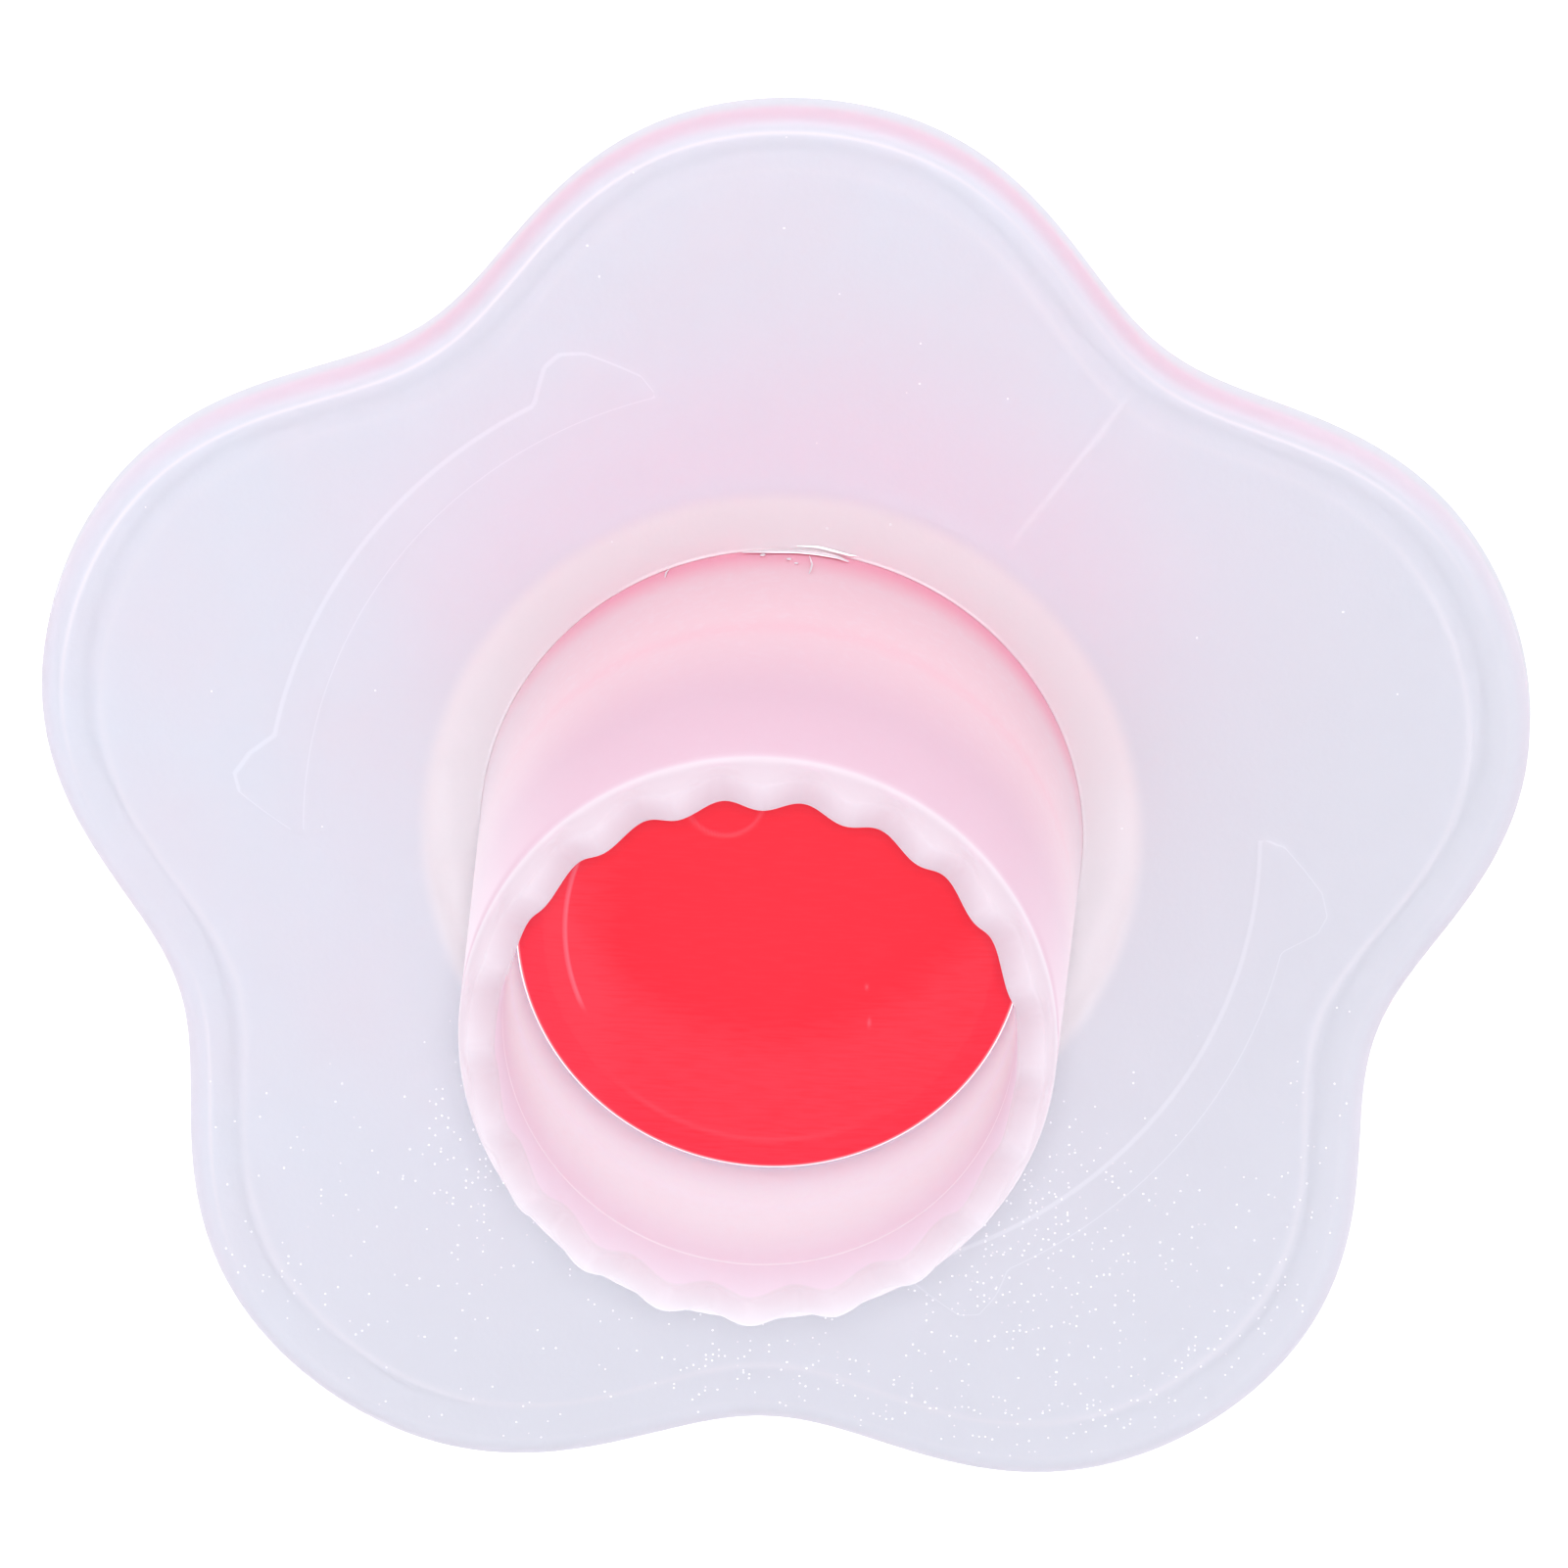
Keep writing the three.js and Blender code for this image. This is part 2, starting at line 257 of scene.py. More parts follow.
def ring_faces(points, closed):
    """Quads between the stations of a ring sweep, or of a stack of sweeps, wound to point outwards."""
    stations, steps = points.shape[-3:-1]
    rows = np.arange(stations if closed else stations - 1)[:, None]
    columns = np.arange(steps)[None, :]
    ahead, beside = (rows + 1) % stations, (columns + 1) % steps
    corners = [rows * steps + columns, rows * steps + beside, ahead * steps + beside, ahead * steps + columns]
    quads = np.stack(corners, -1).reshape(-1, 4)
    return np.concatenate([quads + first for first in range(0, points.size // 3, stations * steps)])


def swept(radius, angle, height):
    """Points round Z: x is r cos a, y is r sin a, z is the height."""
    return np.stack(np.broadcast_arrays(radius * np.cos(angle), radius * np.sin(angle), height), -1)


def revolved(profile, steps):
    """A profile of radius and height carried round Z."""
    return swept(profile[:, :1], even_angles(steps), profile[:, 1:])


def store(piece, shape, **shares):
    """Stores numbers for the material to read, one to a vertex, spread over the shape of the mesh's grid."""
    for name, values in shares.items():
        attribute = piece.data.attributes.new(name, "FLOAT", "POINT")
        attribute.data.foreach_set("value", np.broadcast_to(values, shape).astype(np.float32).ravel())


def add_node(tree, kind, inputs=None, **settings):
    """Adds a shader node with its settings; each input is a value or another node's socket to link."""
    made = tree.nodes.new(kind)
    for key, value in settings.items():
        setattr(made, key, value)
    for key, value in (inputs or {}).items():
        if isinstance(value, bpy.types.NodeSocket):
            tree.links.new(value, made.inputs[key])
        else:
            made.inputs[key].default_value = value
    return made


def stored(tree, name):
    """The number that the mesh stores under a name."""
    return add_node(tree, "ShaderNodeAttribute", attribute_name=name).outputs["Fac"]


def combine(tree, operation, first, second=0.0):
    """Two numbers joined by an operation."""
    return add_node(tree, "ShaderNodeMath", {0: first, 1: second}, operation=operation).outputs["Value"]


def remap(tree, value, old, new, **settings):
    """A number carried from an old range to a new one."""
    inputs = {"Value": value, "From Min": old[0], "From Max": old[1], "To Min": new[0], "To Max": new[1]}
    return add_node(tree, "ShaderNodeMapRange", inputs, **settings).outputs["Result"]


def noise(tree, place, size, detail):
    """Soft noise with features of a size."""
    inputs = {"Vector": place, "Scale": 1 / size, "Detail": detail}
    return add_node(tree, "ShaderNodeTexNoise", inputs).outputs["Fac"]


def blend(tree, share, first, second):
    """A colour between two, by a share."""
    inputs = {"Factor": share, "A": first, "B": second}
    return add_node(tree, "ShaderNodeMix", inputs, data_type="RGBA").outputs["Result"]


def bumped(tree, height, strength, distance):
    """The surface's direction, rocked by a height."""
    inputs = {"Height": height, "Strength": strength, "Distance": distance}
    return add_node(tree, "ShaderNodeBump", inputs).outputs["Normal"]


def new_material(name):
    """An empty node material and its tree."""
    material = bpy.data.materials.new(name)
    material.use_nodes = True
    material.node_tree.nodes.clear()
    return material, material.node_tree


def surface(tree, inputs):
    """Gives a material its one principled shader."""
    shader = add_node(tree, "ShaderNodeBsdfPrincipled", inputs).outputs["BSDF"]
    add_node(tree, "ShaderNodeOutputMaterial", {"Surface": shader})


def rgba(value):
    """A colour with full alpha."""
    return (*value, 1.0)


def frosted_natural_polypropylene(colours):
    """Natural polypropylene from a blasted tool: milky, with a soft sheen, a fine grain, painted glints and
    highlight lines, and painted shade and glow.
    """
    material, tree = new_material("frosted_natural_polypropylene")
    place = add_node(tree, "ShaderNodeTexCoord").outputs["Object"]
    # Painted highlights: the arrows' moulded edges emit lines about 0.2 mm wide, in place of light led inside
    # the plate leaving there.
    off_edge = combine(tree, "ABSOLUTE", stored(tree, "edge"))
    line = remap(tree, off_edge, (0.05 * MM, 0.17 * MM), (0.06, 0.0), interpolation_type="SMOOTHSTEP")
    # Painted glints: mirror dots under 0.1 mm across, one to a cell of 0.3 mm, stand for loose grains of the
    # frosting.
    grid = {"Vector": place, "Scale": 1 / (0.3 * MM)}
    cells = add_node(tree, "ShaderNodeTexVoronoi", grid, voronoi_dimensions="2D").outputs
    dot = remap(tree, cells["Distance"], (0.08, 0.17), (1.0, 0.0))
    chances = add_node(tree, "ShaderNodeSeparateColor", {"Color": cells["Color"]}).outputs
    lit = combine(tree, "GREATER_THAN", stored(tree, "glints"), chances["Red"])
    glint = combine(tree, "MULTIPLY", dot, lit)
    # A painted glint also emits, so it is brighter than the tent light round it, as a grain mirroring the
    # lamp would be.
    spark = combine(tree, "MULTIPLY", glint, chances["Green"])
    mirror = combine(tree, "MAXIMUM", glint, stored(tree, "shine"))
    # Flow of the melt leaves faint warmer clouds about 7 mm across.
    cloud = remap(tree, noise(tree, place, 7.0 * MM, 3.0), (0.35, 0.7), (0.0, 1.0))
    tint = blend(tree, cloud, rgba(colours.frosted), rgba(colours.cloud))
    # Painted shade on the lower right, and a painted pink glow above the tube and on the rim's side wall, for
    # light that the plate leads.
    for name, led in (("shade", colours.shade), ("warm", colours.warm), ("rim", colours.rim_blush)):
        tint = blend(tree, stored(tree, name), tint, rgba(led))
    light = combine(tree, "MAXIMUM", mirror, stored(tree, "pale"))
    inputs = {
        "Base Color": blend(tree, light, tint, rgba(colours.pale)),
        "Roughness": 0.5,
        "IOR": POLYPROPYLENE_IOR,
        "Metallic": mirror,
        "Emission Color": (1.0, 1.0, 1.0, 1.0),
        "Emission Strength": combine(tree, "MAXIMUM", line, spark),
        "Transmission Weight": 0.34,
        "Subsurface Weight": 1.0,
        "Subsurface Radius": (1.0, 1.0, 1.0),
        "Subsurface Scale": stored(tree, "reach"),
        # The frosting's grain, about 0.35 mm across, breaks up the sheen.
        "Normal": bumped(tree, noise(tree, place, 0.35 * MM, 2.0), 0.15, 0.05 * MM),
    }
    surface(tree, inputs)
    return material


def translucent_tinted_polypropylene(colours):
    """Tinted polypropylene, thick enough to look milky and pale on the teeth, with a painted deep glow where
    it enters the plate and painted light and shade along its walls.
    """
    material, tree = new_material("translucent_tinted_polypropylene")
    place = add_node(tree, "ShaderNodeTexCoord").outputs["Object"]
    mouth = stored(tree, "mouth")
    # Painted light and shade: the outside darkens towards the mouth, and the inside is paler near the piston
    # and pinker near the teeth.
    outside = blend(tree, mouth, rgba(colours.tube), rgba(colours.tube_mouth))
    inside = blend(tree, mouth, rgba(colours.tube_bore), rgba(colours.bore_mouth))
    # Specks of the tint about 0.5 mm across keep the wall from looking painted.
    uneven = remap(tree, noise(tree, place, 0.5 * MM, 4.0), (0.25, 0.75), (-0.06, 0.06))
    tint = blend(tree, combine(tree, "ADD", stored(tree, "skin"), uneven), inside, outside)
    # A painted glow deepens the root, the cut teeth are paler, and painted highlights make edges that catch
    # the light palest.
    for name, over in (("root", colours.tube_root), ("tip", colours.land), ("line", colours.pale)):
        tint = blend(tree, stored(tree, name), tint, rgba(over))
    inputs = {
        "Base Color": tint,
        "Roughness": 0.9,
        "IOR": POLYPROPYLENE_IOR,
        "Specular IOR Level": 0.15,
        # Painted glow: the bore beside the piston emits, in place of light led along the milky wall, and
        # lifts the red cast there.
        "Emission Color": rgba(colours.cool),
        "Emission Strength": stored(tree, "glow"),
        "Subsurface Weight": 1.0,
        "Subsurface Radius": (1.0, 1.0, 1.0),
        "Subsurface Scale": stored(tree, "reach"),
    }
    surface(tree, inputs)
    return material


def red_pigmented_polypropylene(colours):
    """Pigmented polypropylene, satin and saturated, with faint straight tool lines, a painted sheen and
    painted highlights.
    """
    material, tree = new_material("red_pigmented_polypropylene")
    place = add_node(tree, "ShaderNodeTexCoord").outputs["Object"]
    # Tool lines are streaks about 1.5 mm long and 0.15 mm wide, nearly level.
    long, wide = 1 / (1.5 * MM), 1 / (0.15 * MM)
    streaks = {"Vector": place, "Rotation": (0.0, 0.0, 0.05), "Scale": (long, wide, long)}
    drawn = add_node(tree, "ShaderNodeMapping", streaks).outputs["Vector"]
    lines = noise(tree, drawn, 1.0, 2.0)
    streak = remap(tree, lines, (0.3, 0.6), (-0.25, 0.1))
    # Painted sheen near the face's edge, broken up by the tool lines.
    worn = combine(tree, "ADD", stored(tree, "haze"), streak)
    tint = blend(tree, worn, rgba(colours.red), rgba(colours.haze))
    # Scratches, and painted highlight arcs near the edge.
    tint = blend(tree, stored(tree, "scuff"), tint, rgba(colours.scuff))
    inputs = {
        # Painted highlight: the wiper lip is paled along its edge, where it bends against the bore.
        "Base Color": blend(tree, stored(tree, "whitened"), tint, rgba(colours.pale)),
        "Roughness": 0.4,
        "IOR": POLYPROPYLENE_IOR,
        # Painted glow: the lip's corner emits a thin line that lights the bore, in place of light led along
        # the milky tube.
        "Emission Color": rgba(colours.pale),
        "Emission Strength": stored(tree, "led"),
        "Normal": bumped(tree, lines, 0.3, 0.02 * MM),
    }
    surface(tree, inputs)
    return material


def make_piece(name, points, body, node, plastic, closed=False):
    """Puts ring sweeps into a smooth mesh of a plastic and rides it on its body; open sweeps end in poles."""
    mesh, faces = bpy.data.meshes.new(name), ring_faces(points, closed)
    mesh.vertices.add(points.size // 3)
    mesh.vertices.foreach_set("co", points.astype(np.float32).ravel())
    mesh.loops.add(faces.size)
    mesh.loops.foreach_set("vertex_index", faces.astype(np.int32).ravel())
    mesh.polygons.add(len(faces))
    mesh.polygons.foreach_set("loop_start", np.arange(0, faces.size, faces.shape[1], dtype=np.int32))
    mesh.update(calc_edges=True)
    if not closed:
        shell = bmesh.new()
        shell.from_mesh(mesh)
        bmesh.ops.remove_doubles(shell, verts=shell.verts, dist=POLE_GAP)
        shell.to_mesh(mesh)
        shell.free()
    if mesh.validate():
        raise RuntimeError(f"{name} has faulty faces")
    mesh.shade_smooth()
    material = bpy.data.materials.get(plastic.__name__)
    mesh.materials.append(material or plastic(bpy.context.scene.corer_plastic))
    piece = bpy.data.objects.new(name, mesh)
    bpy.context.scene.collection.objects.link(piece)
    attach(piece, body)
    if node:
        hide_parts(node)
    return piece


def flower_outline(handle, angle):
    """Outline points and inward directions.

    The radius is a mean circle plus one cosine wave per petal, less a small second wave of twice the count.
    The inward direction is the outline's tangent turned a quarter turn to the left.
    """
    wave = (handle.petal_tip - handle.petal_valley) / 2
    mean = (handle.petal_tip + handle.petal_valley) / 2 + handle.blunting
    turn = handle.petals * (angle - np.pi / 2)
    radius = mean + wave * np.cos(turn) - handle.blunting * np.cos(2 * turn)
    slope = handle.petals * (2 * handle.blunting * np.sin(2 * turn) - wave * np.sin(turn))
    along = np.stack([np.cos(angle), np.sin(angle)], -1)
    across = np.stack([-np.sin(angle), np.cos(angle)], -1)
    tangent = slope[:, None] * along + radius[:, None] * across
    tangent /= np.linalg.norm(tangent, axis=-1, keepdims=True)
    return radius[:, None] * along, np.stack([-tangent[:, 1], tangent[:, 0]], -1)


# The twist arrows: turns from their mirror line in degrees, radii and the width of their edges in mm.
ARROW_AXIS = np.radians(54.0)
ARROW_TURNS = (52.5, 53.5, 58.5, 61.0, 63.0, 66.0, 116.5, 119.0, 121.5, 123.5, 128.0)
ARROW_OUTER = (23.0, 24.0, 25.9, 26.3, 26.0, 24.5, 24.6, 25.6, 26.2, 25.9, 23.2)
ARROW_INNER = 22.8
ARROW_EDGE = 0.5
ARROW_STEP = 0.05
LIGHT_FROM = np.radians(145.0)
HAIR_LINE = np.radians(54.8)
HAIR_LINE_HEIGHT = 0.04 * MM
PLATE_COLUMNS = 520


def arrow_depth(x, y):
    """How far a point is inside the nearer arrow, in mm, below 0 outside it, and how lit the arrow's edge is.

    Two curved arrows lie on one circle, mirror images in the line through a petal valley. Each lies between
    an inner radius and an outer one that varies with the turn from that line. The distance to a sloping edge
    is the radial distance divided by the root of one plus the slope squared. An edge is lit by the cosine
    between the way that it faces and the way to the light.
    """
    radius, angle = np.hypot(x, y) / MM, np.arctan2(y, x)
    turn = np.degrees(angle_from(angle, ARROW_AXIS))
    outer, ahead = (
        np.interp(np.abs(turn) + step, ARROW_TURNS, ARROW_OUTER, left=0, right=0)
        for step in (0, ARROW_STEP)
    )
    slope = np.clip((ahead - outer) / (np.radians(ARROW_STEP) * radius), -3, 3)
    steep = np.sqrt(1 + slope**2)
    inside, outside = radius - ARROW_INNER, (outer - radius) / steep
    to_light = angle - LIGHT_FROM
    facing = (np.cos(to_light) + slope * np.sign(turn) * np.sin(to_light)) / steep
    lit = np.where(inside < outside, -np.cos(to_light), facing)
    return np.minimum(inside, outside), np.clip(lit, 0, 1)


def hair_line(x, y):
    """Height of the hair line as a share: a narrow bell across a line through a valley, faded at its ends."""
    radius, angle = np.hypot(x, y) / MM, np.arctan2(y, x)
    ends = rise(radius, 17.6, 19.1) * rise(radius, 28.6, 26.6)
    return bell(angle_from(angle, HAIR_LINE) * radius, 0, 0.16) * ends


def flash_bead(handle, x, y):
    """Height of the flash round the hole as a share: a narrow bell across a circle, uneven along it."""
    angle = np.arctan2(y, x)
    uneven = 0.7 + 0.2 * np.sin(7 * angle + 0.6) + 0.1 * np.sin(31 * angle)
    return uneven * bell(np.hypot(x, y), handle.hole + 0.07 * MM, 0.06 * MM)


def plate_relief(handle, x, y):
    """Height of the marks on the plate's front: raised arrows, a hair line and a flash bead at the hole."""
    arrows = handle.arrow_relief * rise(arrow_depth(x, y)[0], -ARROW_EDGE / 2, ARROW_EDGE / 2)
    return arrows + HAIR_LINE_HEIGHT * hair_line(x, y) + handle.bead * flash_bead(handle, x, y)


def handle_angles():
    """Angles round the plate, closer together at the arrows' heads and tails and along the hair line."""
    fine = np.linspace(0, FULL_TURN, 7201)
    crowding = np.ones_like(fine)
    for turn, spread, weight in ((57.0, 7.0, 2.0), (123.0, 6.0, 1.4)):
        for side in (-1, 1):
            centre = ARROW_AXIS + side * np.radians(turn)
            crowding += weight * bell(angle_from(fine, centre), 0, np.radians(spread))
    crowding += 7.0 * bell(angle_from(fine, HAIR_LINE), 0, np.radians(0.8))
    share = np.concatenate([[0], np.cumsum((crowding[1:] + crowding[:-1]) / 2)])
    return np.interp(np.linspace(0, share[-1], PLATE_COLUMNS, endpoint=False), share, fine)


def handle_stations(handle):
    """Section of the plate as rows of rim share, inset, radius and depth.

    A share of 1 puts the station inside the outline by its inset, a share of 0 puts it at its radius,
    and the front and rear faces run straight from one to the other.
    """
    rounding, fillet, wall, depth = handle.rim_rounding, handle.rim_fillet, handle.rim_wall, handle.rim_depth
    plate, hole, collar, back = handle.thickness, handle.hole, handle.collar, handle.collar_depth
    edge, collar_edge, root, corner = 0.3 * MM, 0.15 * MM, 0.4 * MM, 0.03 * MM
    hub_edge = hole + 0.5 * MM
    side = [
        *arc(edge, edge - depth, edge, 270, 180, 5),
        *straight((0, edge - depth), (0, -rounding), 8)[1:],
        *arc(rounding, -rounding, rounding, 180, 90, 11)[1:],
    ]
    face = np.concatenate([np.linspace(1, 0.97, 10)[1:], np.linspace(0.97, 0, 99)[1:-1]])
    hub = [
        *straight((hub_edge, 0), (hole + corner, 0), 13),
        *straight((hole, -corner), (hole, collar_edge - back), 6),
        *arc(hole + collar_edge, collar_edge - back, collar_edge, 180, 270, 4)[1:],
        *arc(collar - collar_edge, collar_edge - back, collar_edge, 270, 360, 4),
        *straight((collar, collar_edge - back), (collar, -plate - root), 6)[1:],
        *arc(collar + root, -plate - root, root, 180, 90, 6)[1:],
    ]
    under = [
        *arc(wall + fillet, -plate - fillet, fillet, 90, 180, 9),
        *straight((wall, -plate - fillet), (wall, edge - depth), 3)[1:],
        *arc(wall - edge, edge - depth, edge, 0, -90, 5)[1:],
    ]
    rows = [(1, inset, 0, z) for inset, z in side]
    rows += [(share, rounding, hub_edge, 0) for share in face]
    rows += [(0, 0, radius, z) for radius, z in hub]
    rows += [(share, wall + fillet, collar + root, -plate) for share in np.linspace(0, 1, 12)[1:-1]]
    rows += [(1, inset, 0, z) for inset, z in under]
    return np.array(rows)


class CORER_OT_flower_handle(Operator):
    """Build the petal plate with its rim, collar and raised twist arrows"""

    bl_idname = "corer.flower_handle"
    bl_label = "Flower handle"

    def execute(self, context):
        handle = context.scene.corer_handle
        angle, stations = handle_angles(), handle_stations(handle)
        share, inset, radius, depth = (column[:, None] for column in stations.T)
        outline, inward = flower_outline(handle, angle)
        rim = outline[None] + inset[..., None] * inward[None]
        hub = radius[..., None] * np.stack([np.cos(angle), np.sin(angle)], -1)[None]
        flat = share[..., None] * rim + (1 - share[..., None]) * hub
        x, y = flat[..., 0], flat[..., 1]
        z = np.broadcast_to(depth, x.shape).copy()
        front = depth[:, 0] == 0
        z[front] += plate_relief(handle, x[front], y[front])
        # The collar's rear edge has two notches, which the tube's lugs fit.
        notch = slot_share(angle, handle.collar, handle.notch_width)
        rear = (share[:, 0] == 0) & (depth[:, 0] < -handle.thickness - 0.5 * MM)
        z[rear] = np.maximum(z[rear], handle.notch_height * notch - handle.collar_depth)
        points = np.stack([x, y, z + handle.front], -1)
        piece = make_piece(
            "flower_plate", points, "corer_body", "flower_handle", frosted_natural_polypropylene, closed=True
        )
        from_rim = inset + (1 - share) * np.linalg.norm(rim - hub, axis=-1)
        self.shares(piece, handle, stations, angle, (x, y, from_rim), inward)
        return {"FINISHED"}

    def shares(self, piece, handle, stations, angle, place, inward):
        """Shares of tint, of painted highlight lines, glints, shade and glow, and how deep light goes into
        the plate.

        The plate is palest in front of the collar, where it is thickest; painted shade darkens it towards the
        lower right, and a painted pink glow lies above the tube and on the rim. Light goes less deep where it
        grips the tube, so that the joint stays light. Painted lines and glints are on the front alone. An
        arrow's edge is a narrower painted line where it is less lit.
        """
        x, y, from_rim = place
        radius, front = np.hypot(x, y), stations[:, 3:] == 0
        lines = self.rim_lines(handle, from_rim, inward)
        marks = np.maximum.reduce([0.25 * hair_line(x, y), 0.4 * flash_bead(handle, x, y), lines])
        in_arrow, lit = arrow_depth(x, y)
        store(
            piece,
            x.shape,
            # Painted glow on the rim's side wall.
            rim=self.rim_glow(handle, stations, angle),
            pale=rise(radius, handle.collar + 0.7 * MM, handle.collar - 0.2 * MM),
            # Painted glow above the tube.
            warm=bell(radius, 19 * MM, 6 * MM) * (0.1 + 0.7 * rise(np.sin(angle), 0.2, 1.0)),
            # Painted shade towards the lower right.
            shade=rise(0.64 * x - 0.77 * y, -15 * MM, 20 * MM),
            # Painted highlights along the rim, the hair line and the flash bead.
            shine=np.where(front, marks, 0),
            # Painted highlight lines at the arrows' edges.
            edge=np.where(front, in_arrow * MM / (0.25 + 0.75 * lit), -1),
            # Painted glints.
            glints=np.where(front, self.glint_share(x / MM, y / MM, from_rim / MM), 0),
            reach=(0.05 + 0.55 * rise(radius, handle.hole, handle.hole + 2.5 * MM)) * MM,
        )

    @staticmethod
    def rim_lines(handle, from_rim, inward):
        """Two painted highlight lines along the outline, as narrow bells across their distance from it.

        One lies just inside the front edge's rounding and is brightest where the outline faces up and to the
        left. The other paints the inside of the rim as seen through the plate, faint, on the lower and right
        petals.
        """
        lit = rise(inward @ np.array([0.45, -0.89]), -0.1, 0.9)
        crest = bell(from_rim, handle.rim_rounding + 0.16 * MM, 0.1 * MM)
        inside = bell(from_rim, handle.rim_wall + 0.8 * MM, 0.16 * MM)
        return np.maximum(crest * (0.1 + 0.8 * lit), 0.35 * inside * (1 - 0.6 * lit))

    @staticmethod
    def glint_share(x, y, from_rim):
        """Share of painted glints, standing for the frosting's loose grains, from places in millimetres.

        Two soft patches lie beside the tube on the lower petals and a band follows the lower outline; few
        glint elsewhere on the lower half, and hardly any on the upper half.
        """
        right = bell(x, 12, 5) * bell(y, -20, 4.5)
        left = bell(x, -14, 2.5) * bell(y, -17, 4)
        band = bell(from_rim, 3, 1.4) * rise(x, -9, -1)
        return 0.0015 + 0.4 * right + 0.22 * left + rise(-y, 8, 22) * (0.04 + 0.2 * band)

    @staticmethod
    def rim_glow(handle, stations, angle):
        """Share of painted pink glow on the rim's side wall, where light led through the plate leaves it.

        It is a bell across the wall's depth, fades over the front rounding and is most on the upper petals.
        """
        share, inset, _, depth = stations.T
        outside = (share == 1) & (inset <= handle.rim_rounding)
        across = bell(depth, -0.5 * MM, 0.6 * MM) * rise(inset, handle.rim_rounding, handle.rim_rounding / 3)
        return np.where(outside, across, 0)[:, None] * (0.2 + 0.8 * rise(np.sin(angle), 0.3, 0.8))


RUB_LINE = 13.1 * MM
TOOTH_COLUMNS = 24


def tube_stations(tube):
    """Section of the tube as rows of radius, height, tooth share and lug share."""
    lip, edge, lug_end = tube.lip, 0.2 * MM, 0.05 * MM
    top, front, rear = tube.reach, -tube.seat_front, -tube.seat_rear
    guide_front, throat = rear + tube.guide_thickness, top - tube.relief
    lug = tube.seat - 0.3 * MM
    seat = [
        *arc(tube.seat - edge, rear + edge, edge, 270, 360, 4),
        *arc(tube.seat - edge, front - edge, edge, 0, 90, 4),
    ]
    wall = [
        *straight((tube.base, -2.6 * MM), (tube.base, 0), 4),
        *straight((tube.base, 0), (tube.edge, tube.bevel_start), 62)[1:],
    ]
    bevel = straight((tube.edge, tube.bevel_start), (tube.land, top - lip), 10)[1:]
    land = [
        *arc(tube.land - lip, top - lip, lip, 0, 90, 6)[1:],
        *straight((tube.land - lip, top), (tube.bore_mouth + lip, top), 8)[1:],
        *arc(tube.bore_mouth + lip, top - lip, lip, 90, 180, 6)[1:],
    ]
    levels = [
        np.linspace(guide_front, throat, 24),
        np.linspace(throat, top - lip, 12),
        np.linspace(throat - 0.4 * MM, throat + 0.4 * MM, 13),
        np.linspace(RUB_LINE - 0.3 * MM, RUB_LINE + 0.3 * MM, 9),
    ]
    levels = np.unique(np.concatenate(levels))[-2::-1]
    bore = np.interp(levels, (guide_front, throat, top - lip), (tube.bore, tube.bore, tube.bore_mouth))
    rows = [(r, z, 0, 0) for r, z in seat]
    rows += [(lug, front, 0, 0), (lug - lug_end, front, 0, 1)]
    rows += [(tube.base + lug_end, front, 0, 1), (tube.base, front, 0, 1)]
    rows += [(r, z, 0, 0) for r, z in wall]
    rows += [(r, z, tooth, 0) for (r, z), tooth in zip(bevel, rise(np.linspace(0, 1, 10)[1:], 0, 1))]
    rows += [(r, z, 1, 0) for r, z in land]
    rows += [(r, z, tooth, 0) for r, z, tooth in zip(bore, levels, rise(levels, throat, top - lip))]
    rows += [(tube.guide + edge, guide_front, 0, 0), (tube.guide, guide_front - edge, 0, 0)]
    rows += [(tube.guide, rear + edge, 0, 0), (tube.guide + edge, rear, 0, 0)]
    return np.array(rows)


